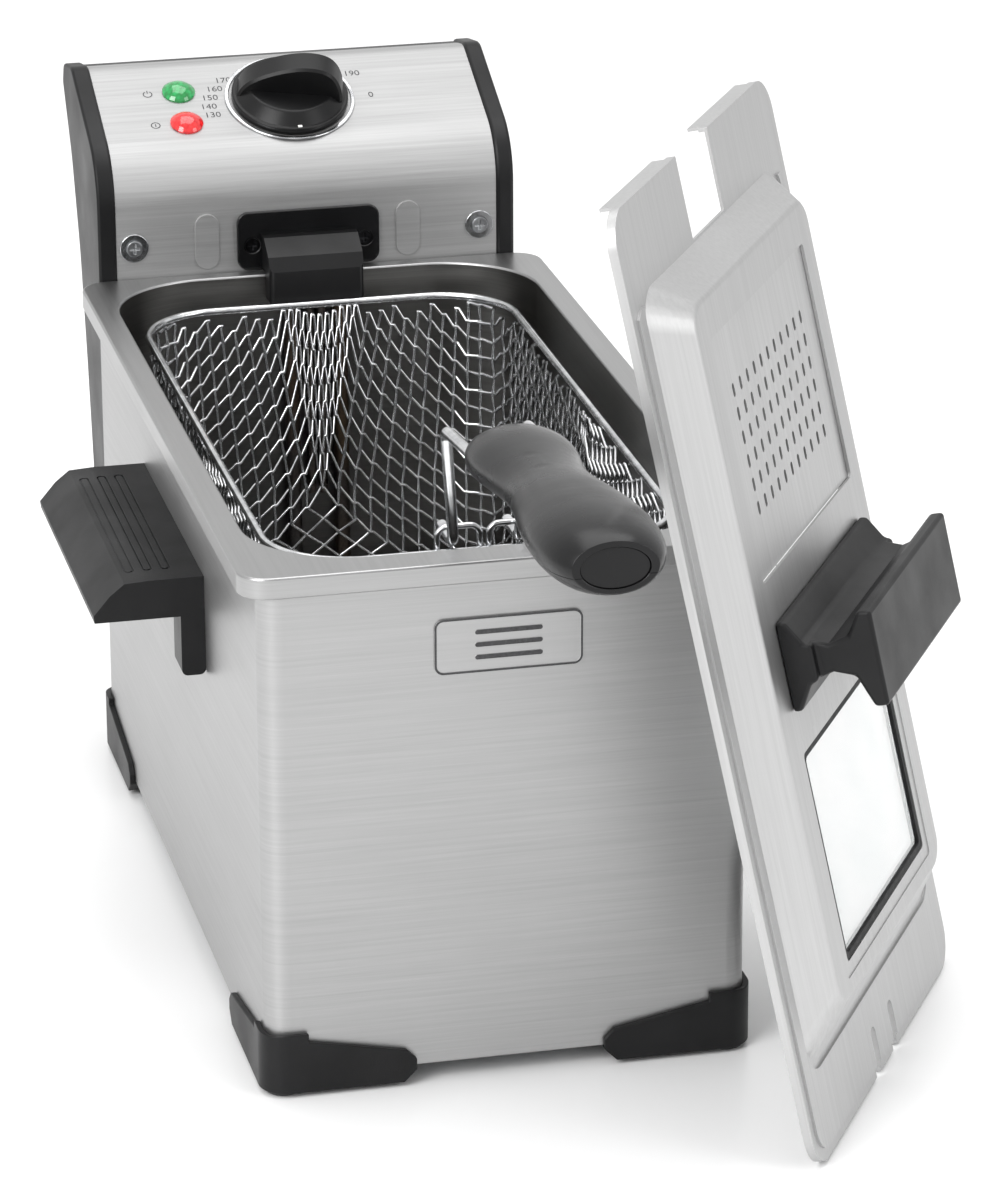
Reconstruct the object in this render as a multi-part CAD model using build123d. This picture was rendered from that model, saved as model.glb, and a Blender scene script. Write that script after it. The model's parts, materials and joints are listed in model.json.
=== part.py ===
from build123d import *
import math
import os

# A cold-zone deep fryer: steel housing, lift-out oil tank, hang-on control unit with its
# heating element, wire basket with a pull-off handle, and a pressed lid that leans on
# the right-hand side.  Millimetres, +Z up, +X to the right as seen from the front,
# front face towards -Y.  The pieces are drawn about the middle of the tank rim, and each
# is saved about the middle of the whole object's footprint on the table.

# ---------------------------------------------------------------- driving dimensions
ORIGIN_X = 28.16         # middle of the whole footprint, from the middle of the rim
ORIGIN_Y = -34.06
CLEAR = 0.4              # gap between pieces that move apart
SHEET = 1.2              # sheet steel of housing, tank and lid

BODY_W = 189.0           # housing, outside
BODY_D = 374.8
BODY_BOTTOM = 7.5
BODY_CORNER = 9.0

RIM_W = 203.0            # flange of the oil tank
RIM_D = 382.0
RIM_TOP = 212.0
RIM_SKIRT = 8.5
RIM_CORNER = 12.0
WELL_W = 182.0           # opening of the tank
WELL_FRONT = -175.0
WELL_BACK = 184.0
WELL_CORNER = 42.0
WELL_FLOOR = 45.0

FOOT_ARM_FRONT = 60.0    # corner feet
FOOT_ARM_SIDE = 72.0
FOOT_SKIN = 2.5
FOOT_DEPTH = 18.0
FOOT_HIGH = 26.0
FOOT_LOW = 15.0
PAD_R = 7.0
PAD_H = 1.6

GRIP_REACH = 44.0        # side carry handles
GRIP_LENGTH = 139.5
GRIP_TOP = 170.0
GRIP_THICK = 16.0
GRIP_POST = 9.6
GRIP_POST_LENGTH = 17.0
GRIP_FOOT = 129.0
HANDLE_RIVET = 0.65      # flat rivet heads inside the housing wall

BASKET_W = 160.0         # basket, on the centre line of its rim wire
BASKET_FRONT = -151.0
BASKET_BACK = 169.5
BASKET_CORNER = 34.0
BASKET_RIM_Z = 201.5
BASKET_FLOOR = 72.0
BASKET_WALL = 1.8
RIM_WIRE_R = 1.6
RUNNER_R = 1.5

LEG_R = 2.25             # wire legs of the basket handle
LEG_SPREAD_LOW = 12.8
LEG_SPREAD_TOP = 15.5
LEG_TOP = 250.5
LEG_FOOT = -131.0
ARCH_R = 1.2
ARCH_Y = BASKET_FRONT + RIM_WIRE_R + ARCH_R + 0.2
LEG_Y = ARCH_Y - ARCH_R - LEG_R - 0.35
HANDLE_RISE = 6.8        # degrees
HANDLE_START = 36.0
HANDLE_LENGTH = 163.0
HANDLE_DROP = 10.2       # how far the grip bends down towards its end

UNIT_FRONT = 191.4       # control unit behind the tank
UNIT_HALF = 92.2
CAP_WIDTH = 7.9
UNIT_BOTTOM = 64.0
UNIT_BEND = 262.1        # height where the front and the sloping top would meet
UNIT_TOP_Y = 256.0
BACK_LOW = (221.0, 64.0)
BACK_HIGH = (226.5, 117.7)
PANEL_TILT = 24.0        # degrees above horizontal of the sloping top
PANEL_INSET = 1.0
PANEL_SHEET = 1.2
BEND_R = 28.5

KNOB_R = 25.6
KNOB_H = 21.0
SHAFT_R = 3.0
WING_THICK = 13.0
KNOB_ALONG = 12.5
LAMP_R = 7.2
LAMP_DOME = 3.2
LAMP_X = -47.8
INLET_X = 45.0           # cord inlet and reset button on the back
INLET_Z = 96.0
RESET_R = 4.0

TUBE_R = 3.25            # heating element
TUBE_X = 10.8
TUBE_Y = 178.0
LOOP_Z = 65.0

LID_W = 204.0
LID_L = 370.0
LID_LEAN = 12.85         # degrees from upright
LID_TURN = 58.66         # degrees between its bottom edge and the X axis
LID_FOOT = (143.95, -212.89, 0.8)
LID_EDGE = 3.5
DOME_H = 13.5
DOME_BACK = 337.0
BEAD_H = 1.0             # raised band that stiffens the rim of the lid


# ---------------------------------------------------------------- small helpers
def save(name, shape):
    """Write one named piece."""
    placed = Pos(-ORIGIN_X, -ORIGIN_Y, 0) * shape
    export_step(placed, "parts/" + name + ".step")


def rounded_block(width, front, back, radius, low, high):
    """Upright block with rounded corners between two Y positions."""
    sketch = RectangleRounded(width, back - front, radius)
    block = extrude(sketch, high - low)
    return Pos(0, (front + back) / 2, low) * block


def block(x0, x1, y0, y1, z0, z1):
    """Plain block from its six limits."""
    solid = Box(x1 - x0, y1 - y0, z1 - z0)
    return Pos((x0 + x1) / 2, (y0 + y1) / 2, (z0 + z1) / 2) * solid


def side_profile(points, x0, x1):
    """Prism along X from an outline given as (y, z) points."""
    wire = Polyline([(0, y, z) for y, z in points], close=True)
    face = make_face(wire)
    return Pos(x0, 0, 0) * extrude(face, x1 - x0, dir=(1, 0, 0))


def end_profile(points, y0, y1):
    """Prism along Y from an outline given as (x, z) points."""
    wire = Polyline([(x, 0, z) for x, z in points], close=True)
    face = make_face(wire)
    return Pos(0, y0, 0) * extrude(face, y1 - y0, dir=(0, 1, 0))


def wire_rod(points, radius, bend):
    """Round bar that follows a bent centre line."""
    path = FilletPolyline(*points, radius=bend) if bend else Polyline(*points)
    start = Plane(origin=path @ 0, z_dir=path % 0)
    return sweep(start * Circle(radius), path=path)


def rod(start, end, radius):
    """Straight round bar between two points."""
    line = Line(start, end)
    return extrude(Plane(origin=start, z_dir=line % 0) * Circle(radius), line.length)


def mirrored(shape):
    """The same piece on the other side of the fryer."""
    return mirror(shape, about=Plane.YZ)


# ---------------------------------------------------------------- housing
def housing_block():
    half = BODY_D / 2
    top = RIM_TOP - SHEET - CLEAR
    return rounded_block(BODY_W, -half, half, BODY_CORNER, BODY_BOTTOM, top)


def make_housing():
    half = BODY_D / 2
    inner = rounded_block(BODY_W - 2 * SHEET, -half + SHEET, half - SHEET,
                          BODY_CORNER - SHEET, BODY_BOTTOM - 1, RIM_TOP)
    save("housing_shell", housing_block() - inner)

    plate_top = BODY_BOTTOM + 2 * SHEET
    plate = rounded_block(BODY_W - 2 * SHEET, -half + SHEET, half - SHEET,
                          BODY_CORNER - SHEET, BODY_BOTTOM + SHEET, plate_top)
    slot = extrude(SlotOverall(46, 5), 4 * SHEET)
    for column in (-45, 45):
        for row in range(-4, 5):
            plate -= Pos(column, row * 22, BODY_BOTTOM) * slot
    save("base_plate", plate)


def foot_arm_front():
    x0 = -BODY_W / 2 - FOOT_SKIN
    x1 = x0 + FOOT_ARM_FRONT
    y0 = -BODY_D / 2 - FOOT_SKIN
    outline = [(x0, PAD_H), (x1 - 5, PAD_H), (x1, PAD_H + 5), (x1, FOOT_LOW - 4),
               (x1 - 4, FOOT_LOW), (x0, FOOT_HIGH)]
    return end_profile(outline, y0, y0 + FOOT_DEPTH)


def foot_arm_side():
    x0 = -BODY_W / 2 - FOOT_SKIN
    y0 = -BODY_D / 2 - FOOT_SKIN
    y1 = y0 + FOOT_ARM_SIDE
    outline = [(y0, PAD_H), (y1 - 5, PAD_H), (y1, PAD_H + 5), (y1, FOOT_LOW - 4),
               (y1 - 4, FOOT_LOW), (y0, FOOT_HIGH)]
    return side_profile(outline, x0, x0 + FOOT_DEPTH)


def make_feet():
    outer = rounded_block(BODY_W + 2 * FOOT_SKIN, -BODY_D / 2 - FOOT_SKIN, BODY_D / 2, 11,
                          0, FOOT_HIGH + 1)
    foot = ((foot_arm_front() + foot_arm_side()) & outer) - housing_block()
    places = {"foot_front_left": foot, "foot_front_right": mirrored(foot),
              "foot_back_left": mirror(foot, about=Plane.XZ),
              "foot_back_right": mirrored(mirror(foot, about=Plane.XZ))}
    for name, shape in places.items():
        save(name, shape)
    pads = []
    screws = []
    for sx in (-1, 1):
        for sy in (-1, 1):
            x = sx * (BODY_W / 2 - 7)
            y = sy * (BODY_D / 2 - 7)
            pads.append(Pos(x, y, PAD_H / 2) * Cylinder(PAD_R, PAD_H))
            head = Pos(x, y, BODY_BOTTOM + 2 * SHEET + 1.2) * Cylinder(3.4, 2.4)
            screws.append(head)
    save("foot_pads", Compound(pads))
    save("foot_screws", Compound(screws))


def make_carry_handle(name, side):
    wall = -BODY_W / 2
    tip = wall - GRIP_REACH
    top = GRIP_TOP
    low = top - GRIP_THICK
    half = GRIP_LENGTH / 2
    outline = [(wall, top), (wall - 22, top), (wall - 31.5, top - 0.6),
               (wall - 37.3, top - 5.2), (tip, top - 13.0), (tip + 0.4, low),
               (wall - GRIP_POST, low), (wall, low)]
    grip = end_profile(outline, -half, half)
    for sy in (-1, 1):
        y0 = sy * half
        y1 = sy * (half - GRIP_POST_LENGTH)
        post = block(wall - GRIP_POST, wall, min(y0, y1), max(y0, y1), GRIP_FOOT, low + 1)
        grip += fillet(post.edges().filter_by(Axis.Y).group_by(Axis.Z)[0], 2.5)
    for x in (wall - 13, wall - 20.2, wall - 27.4):
        groove = extrude(Rot(0, 0, 90) * SlotOverall(GRIP_LENGTH - 24, 3.8), 1.4)
        rib = extrude(Rot(0, 0, 90) * SlotOverall(GRIP_LENGTH - 26, 2.6), 1.4)
        grip -= Pos(x, 0, top - 0.7) * (groove - rib)
    save(name, grip if side < 0 else mirrored(grip))


def make_handle_rivets():
    rivets = []
    for side in (-1, 1):
        for sy in (-1, 1):
            y = sy * (GRIP_LENGTH / 2 - GRIP_POST_LENGTH / 2)
            x = side * (BODY_W / 2 - SHEET - HANDLE_RIVET / 2)
            head = Rot(0, 90, 0) * Cylinder(4.5, HANDLE_RIVET)
            rivets.append(Pos(x, y, GRIP_FOOT + 12) * head)
    save("handle_rivets", Compound(rivets))


def make_badge():
    plate = extrude(RectangleRounded(57, 22, 3.5), 0.6)
    frame = extrude(RectangleRounded(57, 22, 3.5) - RectangleRounded(55.4, 20.4, 2.8), 0.9)
    waves = Part()
    for row in (-5, 0, 5):
        waves += Pos(0, row, 0) * extrude(SlotOverall(26, 1.8), 0.9)
    badge = Rot(90, 0, 0) * (plate + frame + waves)
    save("badge_plate", Pos(0, -BODY_D / 2, 178) * badge)


# ---------------------------------------------------------------- oil tank
def make_tank():
    half = RIM_D / 2
    skirt_low = RIM_TOP - RIM_SKIRT
    flange = rounded_block(RIM_W, -half, half, RIM_CORNER, skirt_low, RIM_TOP)
    under = rounded_block(RIM_W - 3.4, -half + 1.7, half - 1.7, RIM_CORNER - 1.7,
                          skirt_low - 1, RIM_TOP - SHEET)
    well_outer = rounded_block(WELL_W + 2 * SHEET, WELL_FRONT - SHEET, WELL_BACK + SHEET,
                               WELL_CORNER + SHEET, WELL_FLOOR - SHEET, RIM_TOP)
    well_inner = rounded_block(WELL_W, WELL_FRONT, WELL_BACK, WELL_CORNER,
                               WELL_FLOOR, RIM_TOP + 1)
    tank = (flange - under) + well_outer - well_inner
    save("oil_tank", tank)


# ---------------------------------------------------------------- control unit
def unit_outline(inset):
    """Closed side outline of the control unit, shrunk by inset, in the YZ plane."""
    rise = math.tan(math.radians(PANEL_TILT))
    top_z = UNIT_BEND + (UNIT_TOP_Y - UNIT_FRONT) * rise
    points = [(UNIT_FRONT, UNIT_BOTTOM), (UNIT_FRONT, UNIT_BEND), (UNIT_TOP_Y, top_z),
              (278.0, 287.0), (281.5, 278.0), (262.0, 249.0), (246.0, 210.0),
              (235.0, 163.0), BACK_HIGH, BACK_LOW]
    wire = Polyline([(0, y, z) for y, z in points], close=True)
    face = make_face(wire)
    corners = {1: BEND_R, 2: 12.0, 3: 4.5, 4: 3.5, 5: 60.0, 6: 90.0, 0: 3.0, 9: 3.0}
    for index, radius in corners.items():
        y, z = points[index]
        spot = Vector(0, y, z)
        vertex = min(face.vertices(), key=lambda v: (Vector(v) - spot).length)
        face = fillet(vertex, radius)
    if inset:
        face = offset(face, -inset)
    return face


def unit_prism(inset, x0, x1):
    return Pos(x0, 0, 0) * extrude(unit_outline(inset), x1 - x0, dir=(1, 0, 0))


def panel_point(along, x, lift):
    """Point on the sloping panel: distance up the slope, across, and off the face."""
    tilt = math.radians(PANEL_TILT)
    foot_y = 217.0
    foot_z = UNIT_BEND + (foot_y - UNIT_FRONT) * math.tan(tilt)
    lift -= PANEL_INSET
    y = foot_y + along * math.cos(tilt) - lift * math.sin(tilt)
    z = foot_z + along * math.sin(tilt) + lift * math.cos(tilt)
    return (x, y, z)


def on_panel(along, x, lift=0.0):
    """Plane that lies on the sloping panel."""
    tilt = math.radians(PANEL_TILT)
    return Plane(origin=panel_point(along, x, lift), x_dir=(1, 0, 0),
                 z_dir=(0, -math.sin(tilt), math.cos(tilt)))


def make_unit_shells():
    inner_x = UNIT_HALF - CAP_WIDTH
    for name, x0, x1 in (("end_cap_left", -UNIT_HALF, -inner_x),
                         ("end_cap_right", inner_x, UNIT_HALF)):
        cap = unit_prism(0, x0, x1)
        pocket0 = x0 + 2.5 if x0 < 0 else x0 - 0.1
        pocket1 = x1 + 0.1 if x0 < 0 else x1 - 2.5
        save(name, cap - unit_prism(4.5, pocket0, pocket1))

    wrap = unit_prism(PANEL_INSET, -inner_x, inner_x)
    wrap -= unit_prism(PANEL_INSET + PANEL_SHEET, -inner_x - 1, inner_x + 1)
    front_zone = side_profile([(180, UNIT_BOTTOM + 8), (200, UNIT_BOTTOM + 8), (200, 250),
                               (222, 268), (266, 284), (266, 300), (180, 300)],
                              -UNIT_HALF, UNIT_HALF)
    panel = wrap & front_zone
    cover = wrap - front_zone
    for x in (-44.5, 44.5):
        rib = extrude(Rot(0, 0, 90) * SlotOverall(24.5, 10.5), 0.9)
        rib = Plane(origin=(x, UNIT_FRONT + PANEL_INSET, 226.2), x_dir=(1, 0, 0),
                    z_dir=(0, -1, 0)).location * rib
        panel += rib - block(x - 8, x + 8, 185, 200, 200, RIM_TOP + CLEAR)
    for along in (0.0, 21.5):
        panel -= on_panel(along, LAMP_X, -4).location * Cylinder(5.6, 10)
    panel -= on_panel(KNOB_ALONG, 0, -4).location * Cylinder(5.2, 10)
    vent = extrude(SlotOverall(60, 4), 12)
    for z in (222, 232):
        cover -= Plane(origin=(0, 262, z), x_dir=(1, 0, 0), z_dir=(0, -1, 0)).location * vent
    cover -= on_back(INLET_X).location * Cylinder(3.8, 8)
    cover -= on_back(-INLET_X).location * Cylinder(RESET_R + CLEAR, 8)
    save("control_panel", panel)
    save("back_cover", cover)


def make_panel_fasteners():
    screws = []
    washers = []
    face_y = UNIT_FRONT + PANEL_INSET
    for x in (-76.5, 76.5):
        upright = Plane(origin=(x, face_y, 225.5), x_dir=(1, 0, 0), z_dir=(0, -1, 0))
        washer = Cylinder(6.3, 0.9, align=(Align.CENTER, Align.CENTER, Align.MIN))
        washer -= Cylinder(3.6, 5)
        screw = Cylinder(3.5, 1.9, align=(Align.CENTER, Align.CENTER, Align.MIN))
        screw -= Pos(0, 0, 1.9) * (Box(4.4, 0.8, 1.6) + Box(0.8, 4.4, 1.6))
        washers.append(upright.location * washer)
        screws.append(upright.location * screw)
    save("panel_screws", Compound(screws))
    save("panel_washers", Compound(washers))


def make_escutcheon():
    face_y = UNIT_FRONT + PANEL_INSET
    low = RIM_TOP + CLEAR
    plate = extrude(RectangleRounded(63, 238.4 - low, 5), 2.2)
    upright = Plane(origin=(0, face_y, (low + 238.4) / 2), x_dir=(1, 0, 0), z_dir=(0, -1, 0))
    plate = upright.location * plate
    holes = []
    for x in (-24.9, 24.9):
        axis = Plane(origin=(x, face_y, 223.5), x_dir=(1, 0, 0), z_dir=(0, -1, 0))
        plate -= axis.location * Cylinder(3.3, 6)
        screw = Cylinder(3.2, 1.8, align=(Align.CENTER, Align.CENTER, Align.MIN))
        screw -= Pos(0, 0, 1.8) * (Box(3.8, 0.8, 1.4) + Box(0.8, 3.8, 1.4))
        holes.append(axis.location * screw)
    save("escutcheon_plate", plate)
    save("escutcheon_screws", Compound(holes))


def make_bracket_cover():
    """Moulded cover that bridges the tank rim and drops inside the well."""
    face_y = UNIT_FRONT + PANEL_INSET - 2.2
    top = 228.0
    front = 172.4
    outline = [(face_y, top), (face_y - 5, top), (front + 3, top - 6), (front, top - 12),
               (front, 202.0), (WELL_BACK - 1.2, 202.0), (WELL_BACK - 1.2, RIM_TOP + 1.2),
               (face_y, RIM_TOP + 1.2)]
    cover = side_profile(outline, -20.8, 20.8)
    cover = fillet(cover.edges().filter_by(Axis.Z).group_by(Axis.Y)[0], 2.0)
    for x in (-TUBE_X, TUBE_X):
        cover -= rod((x, TUBE_Y, 200), (x, TUBE_Y, 214), TUBE_R + 0.05)
    save("element_bracket_cover", cover)


def make_element():
    legs = []
    for x in (-TUBE_X, TUBE_X):
        legs.append(wire_rod([(x, TUBE_Y, 213.5), (x, TUBE_Y, LOOP_Z), (x, 158, LOOP_Z)],
                             TUBE_R, 14))
    save("element_legs", Compound(legs))
    half = [(TUBE_X, 158), (TUBE_X, -112), (38, -112), (38, 128), (65, 128), (65, -138)]
    right = [(x, y, LOOP_Z) for x, y in half]
    left = [(-x, y, z) for x, y, z in reversed(right)]
    save("heating_element", wire_rod(right + left, TUBE_R, 13))
    clamps = []
    for y in (-60, 80):
        clamps.append(block(-69, 69, y - 3, y + 3, LOOP_Z - TUBE_R - 1.5,
                            LOOP_Z - TUBE_R - 0.05))
    save("element_clamps", Compound(clamps))
    bulbs = []
    for x in (-2.6, 2.6):
        bulbs.append(rod((x, TUBE_Y + 1, 112), (x, TUBE_Y + 1, 201.9), 1.9))
    save("sensor_bulbs", Compound(bulbs))


def make_unit_internals():
    body = on_panel(KNOB_ALONG, 0, -PANEL_SHEET - 0.05).location
    down = (Align.CENTER, Align.CENTER, Align.MAX)
    save("thermostat_body", body * Box(38, 30, 24, align=down))
    block_y = UNIT_FRONT + 3.0
    save("element_flange", block(-26, 26, block_y, block_y + 4, 205, 236))
    save("terminal_block", block(36, 62, 205, 221, 150, 190))
    save("thermal_cutout", block(-58, -38, 205, 222, 150, 172))
    save("interlock_switch", block(-14, 14, 200, 212, 78, 98))
    ring = Cylinder(8.5, 3.0, align=(Align.CENTER, Align.CENTER, Align.MIN))
    nose = Cylinder(6.5, 8.0, align=(Align.CENTER, Align.CENTER, Align.MIN))
    bore = Cylinder(3.8, 40)
    save("cord_inlet", on_back(INLET_X).location * ((ring + nose) - bore))


def on_back(x):
    """Plane on the lower back of the control unit, facing away from the fryer."""
    tilt = math.atan2(BACK_HIGH[0] - BACK_LOW[0], BACK_HIGH[1] - BACK_LOW[1])
    share = (INLET_Z - BACK_LOW[1]) / (BACK_HIGH[1] - BACK_LOW[1])
    y = BACK_LOW[0] + share * (BACK_HIGH[0] - BACK_LOW[0]) - PANEL_INSET
    return Plane(origin=(x, y, INLET_Z), x_dir=(1, 0, 0),
                 z_dir=(0, math.cos(tilt), -math.sin(tilt)))


def make_reset_button():
    axis = on_back(-INLET_X).location
    low = (Align.CENTER, Align.CENTER, Align.MIN)
    collar = Cylinder(8.0, 3.0, align=low) - Cylinder(RESET_R + CLEAR, 20)
    button = Cylinder(RESET_R, 9.0, align=low)
    button = fillet(button.edges().group_by(Axis.Z)[-1], 0.8)
    save("reset_collar", axis * collar)
    save("reset_button", axis * Pos(0, 0, -3.6) * button)


def make_lamps():
    low = (Align.CENTER, Align.CENTER, Align.MIN)
    for name, along in (("lamp_red", 0.0), ("lamp_green", 21.5)):
        place = on_panel(along, LAMP_X).location
        ball_r = (LAMP_R ** 2 + LAMP_DOME ** 2) / (2 * LAMP_DOME)
        cap = Pos(0, 0, 0.8 + LAMP_DOME - ball_r) * Sphere(ball_r)
        cap &= Pos(0, 0, 0.8) * Cylinder(LAMP_R, 9, align=low)
        cap += Cylinder(LAMP_R, 0.8, align=low)
        stem = Pos(0, 0, -9) * Cylinder(5.4, 9, align=low)
        save(name, place * (cap + stem))


def make_bezel():
    low = (Align.CENTER, Align.CENTER, Align.MIN)
    ring = Cylinder(28.6, 0.9, align=low) - Cylinder(26.9, 5)
    save("dial_ring", on_panel(KNOB_ALONG, 0).location * ring)


def knob_wing():
    """Finger bar of the knob, higher towards one end."""
    low = (-KNOB_R + 2.4, 3.0)
    high = (KNOB_R - 2.8, 3.0)
    crest = Spline(low, (-21.0, 8.6), (-12.0, 15.6), (0.0, KNOB_H - 0.9), (9.5, KNOB_H),
                   (17.0, 18.6), (21.4, 12.4), high)
    outline = make_face(Curve() + [crest, Line(high, low)])
    bar = extrude(Plane.XZ * outline, WING_THICK / 2, both=True)
    return Rot(0, 0, -12) * chamfer(bar.faces().filter_by(Axis.Y).edges(), 1.1)


def make_knob():
    low = (Align.CENTER, Align.CENTER, Align.MIN)
    skirt = Cylinder(KNOB_R, 3.0, align=low)
    skirt = fillet(skirt.edges().group_by(Axis.Z)[-1], 0.8)
    body = Pos(0, 0, 3.0) * Cone(KNOB_R - 1.6, KNOB_R - 7.0, 4.4, align=low)
    body = fillet(body.edges().group_by(Axis.Z)[-1], 2.5)
    knob = skirt + body + knob_wing()
    knob -= Cylinder(SHAFT_R + 0.05, 24)
    place = on_panel(KNOB_ALONG, 0, 0.6).location
    save("knob", place * knob)
    mark = Pos(0, -KNOB_R + 1.6, 3.05) * Box(1.8, 1.2, 0.4, align=low)
    save("knob_pointer", place * (mark - body))
    save("knob_shaft", on_panel(KNOB_ALONG, 0, -0.8).location * Cylinder(SHAFT_R, 13, align=low))


# ---------------------------------------------------------------- basket
def make_basket():
    half = BASKET_W
    top = BASKET_RIM_Z - RIM_WIRE_R - 0.05
    outer = rounded_block(half - 1.0, BASKET_FRONT + 0.5, BASKET_BACK - 0.5,
                          BASKET_CORNER - 0.5, BASKET_FLOOR, top)
    outer = fillet(outer.faces().sort_by(Axis.Z)[0].edges(), 14)
    inner = rounded_block(half - 1.0 - 2 * BASKET_WALL, BASKET_FRONT + 0.5 + BASKET_WALL,
                          BASKET_BACK - 0.5 - BASKET_WALL,
                          BASKET_CORNER - 0.5 - BASKET_WALL, BASKET_FLOOR + BASKET_WALL,
                          top + 5)
    inner = fillet(inner.faces().sort_by(Axis.Z)[0].edges(), 14 - BASKET_WALL)
    save("basket_mesh", outer - inner)

    length = BASKET_BACK - BASKET_FRONT
    path = RectangleRounded(BASKET_W, length, BASKET_CORNER).wire()
    path = Pos(0, (BASKET_FRONT + BASKET_BACK) / 2, BASKET_RIM_Z) * path
    start = Plane(origin=path @ 0, z_dir=path % 0)
    save("basket_rim", sweep(start * Circle(RIM_WIRE_R), path=path))

    arches = []
    foot_z = BASKET_RIM_Z - RIM_WIRE_R + 0.1
    top_z = BASKET_RIM_Z + RIM_WIRE_R + 7.8
    for side in (-1, 1):
        x0 = side * 1.8
        x1 = side * 18.4
        arches.append(wire_rod([(x0, ARCH_Y, foot_z), (x0, ARCH_Y, top_z),
                                (x1, ARCH_Y, top_z), (x1, ARCH_Y, foot_z)], ARCH_R, 4.0))
    save("handle_arches", Compound(arches))
    runners = []
    z = BASKET_FLOOR - RUNNER_R - 0.05
    for y in (-80, 10, 100):
        runners.append(rod((-60, y, z), (60, y, z), RUNNER_R))
    save("basket_runners", Compound(runners))


def handle_point(s, x, lift):
    """Point on the basket handle: distance along its axis, across, and off it."""
    rise = math.radians(HANDLE_RISE)
    y = LEG_Y - s * math.cos(rise) - lift * math.sin(rise)
    z = LEG_TOP + s * math.sin(rise) + lift * math.cos(rise)
    return (x, y, z)


def handle_plane(s, lift):
    """Plane across the handle, facing along it towards the user."""
    rise = math.radians(HANDLE_RISE)
    return Plane(origin=handle_point(s, 0, lift), x_dir=(1, 0, 0),
                 z_dir=(0, -math.cos(rise), math.sin(rise)))


def handle_section(s, half_width, up, down, lift):
    """Oval slice across the handle."""
    middle = Pos(0, (up - down) / 2)
    return handle_plane(s, lift) * middle * Ellipse(half_width, (up + down) / 2)


def make_basket_handle():
    slide_z = BASKET_RIM_Z + RIM_WIRE_R + LEG_R + CLEAR
    legs = []
    for side in (-1, 1):
        low = side * LEG_SPREAD_LOW
        top = side * LEG_SPREAD_TOP
        points = [(low, LEG_FOOT, slide_z), (low, LEG_Y, slide_z), (top, LEG_Y, LEG_TOP),
                  handle_point(HANDLE_START + 20, top, 0)]
        legs.append(wire_rod(points, LEG_R, 4.0))
    save("handle_legs", Compound(legs))

    start = HANDLE_START
    length = HANDLE_LENGTH
    table = [(0.00, 13.5, 7.5, 7.5, 0.0), (0.05, 18.0, 10.5, 10.5, 0.0),
             (0.17, 20.0, 12.0, 11.5, 0.05), (0.36, 16.8, 11.5, 10.5, 0.25),
             (0.62, 20.5, 14.0, 11.5, 0.54), (0.82, 23.0, 15.0, 12.0, 0.78),
             (0.95, 20.0, 13.0, 11.0, 0.94), (1.00, 15.5, 10.0, 8.5, 1.00)]
    sections = [handle_section(start + t * length, w, up, down, -drop * HANDLE_DROP)
                for t, w, up, down, drop in table]
    grip = loft(sections)
    for side in (-1, 1):
        grip -= rod(handle_point(start - 5, side * LEG_SPREAD_TOP, 0),
                    handle_point(start + 21, side * LEG_SPREAD_TOP, 0), LEG_R)
    end = handle_plane(start + length - 1.8, -HANDLE_DROP)
    grip -= end.location * extrude(Pos(0, 0.6) * Ellipse(12.6, 7.4), 4)
    disc = extrude(Pos(0, 0.6) * Ellipse(12.5, 7.3), 0.8)
    save("grip_end_cap", end.location * disc)
    rise = math.radians(HANDLE_RISE) - math.atan2(0.8 * HANDLE_DROP, length)
    seam = Plane(origin=handle_point(start, 0, -4.0), x_dir=(1, 0, 0),
                 z_dir=(0, math.sin(rise), math.cos(rise)))
    above = seam.location * Box(120, 800, 60, align=(Align.CENTER, Align.CENTER, Align.MIN))
    below = seam.location * Pos(0, 0, -0.02) * Box(
        120, 800, 60, align=(Align.CENTER, Align.CENTER, Align.MAX))
    save("grip_upper", grip & above)
    save("grip_lower", grip & below)


# ---------------------------------------------------------------- lid
def lid_place():
    turn = math.radians(LID_TURN)
    lean = math.radians(LID_LEAN)
    across = (math.cos(turn), math.sin(turn), 0)
    outward = (math.sin(turn) * math.cos(lean), -math.cos(turn) * math.cos(lean),
               math.sin(lean))
    return Plane(origin=LID_FOOT, x_dir=across, z_dir=outward).location


def lid_rect(half, low, high, radius):
    """Rounded rectangle on the lid, given its half width and its two ends."""
    return Pos(0, (low + high) / 2) * RectangleRounded(2 * half, high - low, radius)


def lid_slab(half, low, high, radius, n0, n1):
    return Pos(0, 0, n0) * extrude(lid_rect(half, low, high, radius), n1 - n0)


def lid_frustum(base, top, low, high):
    """Dome between two rounded rectangles at two heights."""
    bottom = Pos(0, 0, low) * lid_rect(*base)
    upper = Pos(0, 0, high) * lid_rect(*top)
    return loft([bottom, upper])


def lid_cutters():
    notch = Pos(0, LID_L + 14) * Rectangle(41, 92)
    tool = extrude(notch, 60)
    for x in (-12.8, 12.8):
        slot = Pos(x, 0) * (Rot(0, 0, 90) * SlotOverall(2 * 19.5, 6.4))
        tool += extrude(slot, 60)
    return Pos(0, 0, -30) * tool


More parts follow.
